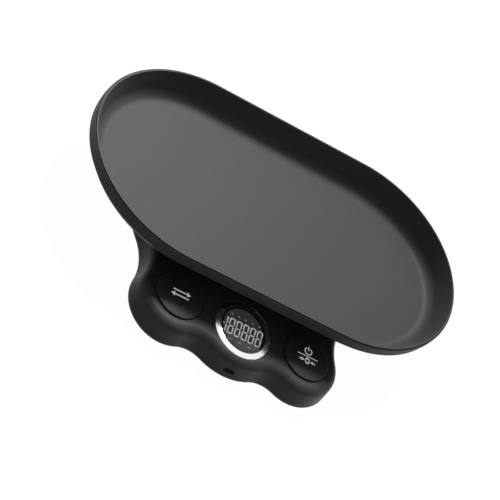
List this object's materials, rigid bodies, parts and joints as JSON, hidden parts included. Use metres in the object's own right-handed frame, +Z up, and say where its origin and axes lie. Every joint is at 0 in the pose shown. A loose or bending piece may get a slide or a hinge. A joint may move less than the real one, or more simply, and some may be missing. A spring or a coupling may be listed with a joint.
{
  "type": "digital baby weighing scale",
  "caption": "Black digital baby scale: lift-off obround tray on a low base with a three-lobed panel, round display and two press buttons",
  "frame": {"origin": "On the resting plane, under the middle of the whole scale's box.", "axes": "+X to the right along the tray's length, seen from the panel's side; -Y towards the user and the panel; +Z up."},
  "size_m": [0.3474, 0.2272, 0.06],
  "materials": {
    "tray_plastic": "moulded black ABS with a fine spark-eroded texture",
    "base_plastic": "moulded black ABS, satin",
    "button_plastic": "moulded black ABS, satin, printed signs",
    "platform_plastic": "moulded dark grey ABS",
    "ring_chrome": "bright electroplated",
    "lens_smoke": "clear over a smoked printed border",
    "lcd_glass": "black negative display",
    "holder_white": "moulded white nylon",
    "guide_clear": "clear acrylic",
    "board_green": "solder mask",
    "switch_black": "moulded nylon",
    "plunger_grey": "moulded nylon",
    "socket_steel": "nickel plated",
    "cell_aluminium": "machined",
    "gauge_coat": "white potting compound",
    "plate_steel": "zinc plated",
    "screw_steel": "zinc plated",
    "pad_silicone": "moulded silicone",
    "foot_rubber": "moulded rubber",
    "battery_foil": "heat-sealed foil pouch",
    "foam_black": "closed-cell foam",
    "lead_jacket": "soft vinyl jacket",
    "connector_nylon": "natural nylon"
  },
  "bodies": {
    "base": {"platform": "platform_plastic", "platform_pads": "pad_silicone", "load_cell": "cell_aluminium", "gauge_cover": "gauge_coat", "cell_base_plate": "plate_steel", "cell_top_block": "cell_aluminium", "cell_base_screws": "screw_steel", "cell_top_screws": "screw_steel", "upper_housing": "base_plastic", "lower_housing": "base_plastic", "housing_screws": "screw_steel", "display_ring": "ring_chrome", "display_lens": "lens_smoke", "lcd_panel": "lcd_glass", "display_holder": "holder_white", "light_guide": "guide_clear", "main_board": "board_green", "board_screws": "screw_steel", "board_connectors": "connector_nylon", "usb_socket": "socket_steel", "battery_cell": "battery_foil", "battery_pad": "foam_black", "load_cell_lead": "lead_jacket", "battery_lead": "lead_jacket", "mode_switch": "switch_black", "power_switch": "switch_black", "foot_rear_right": "foot_rubber", "foot_rear_left": "foot_rubber", "foot_front_right": "foot_rubber", "foot_front_left": "foot_rubber"},
    "tray": {"tray": "tray_plastic"},
    "mode_key": {"mode_button": "button_plastic", "mode_switch_plunger": "plunger_grey"},
    "power_key": {"power_button": "button_plastic", "power_switch_plunger": "plunger_grey"}
  },
  "joints": [
    {"name": "mode_press", "type": "slide", "parent": "base", "child": "mode_key", "axis": [0, 0, -1], "range_m": [0, 0.0008], "stiffness_N_per_m": 2500, "springref_m": -0.0004},
    {"name": "power_press", "type": "slide", "parent": "base", "child": "power_key", "axis": [0, 0, -1], "range_m": [0, 0.0008], "stiffness_N_per_m": 2500, "springref_m": -0.0004},
    {"name": "tray_lift", "type": "slide", "parent": "base", "child": "tray", "axis": [0, 0, 1], "range_m": [0, 0.06]}
  ]
}
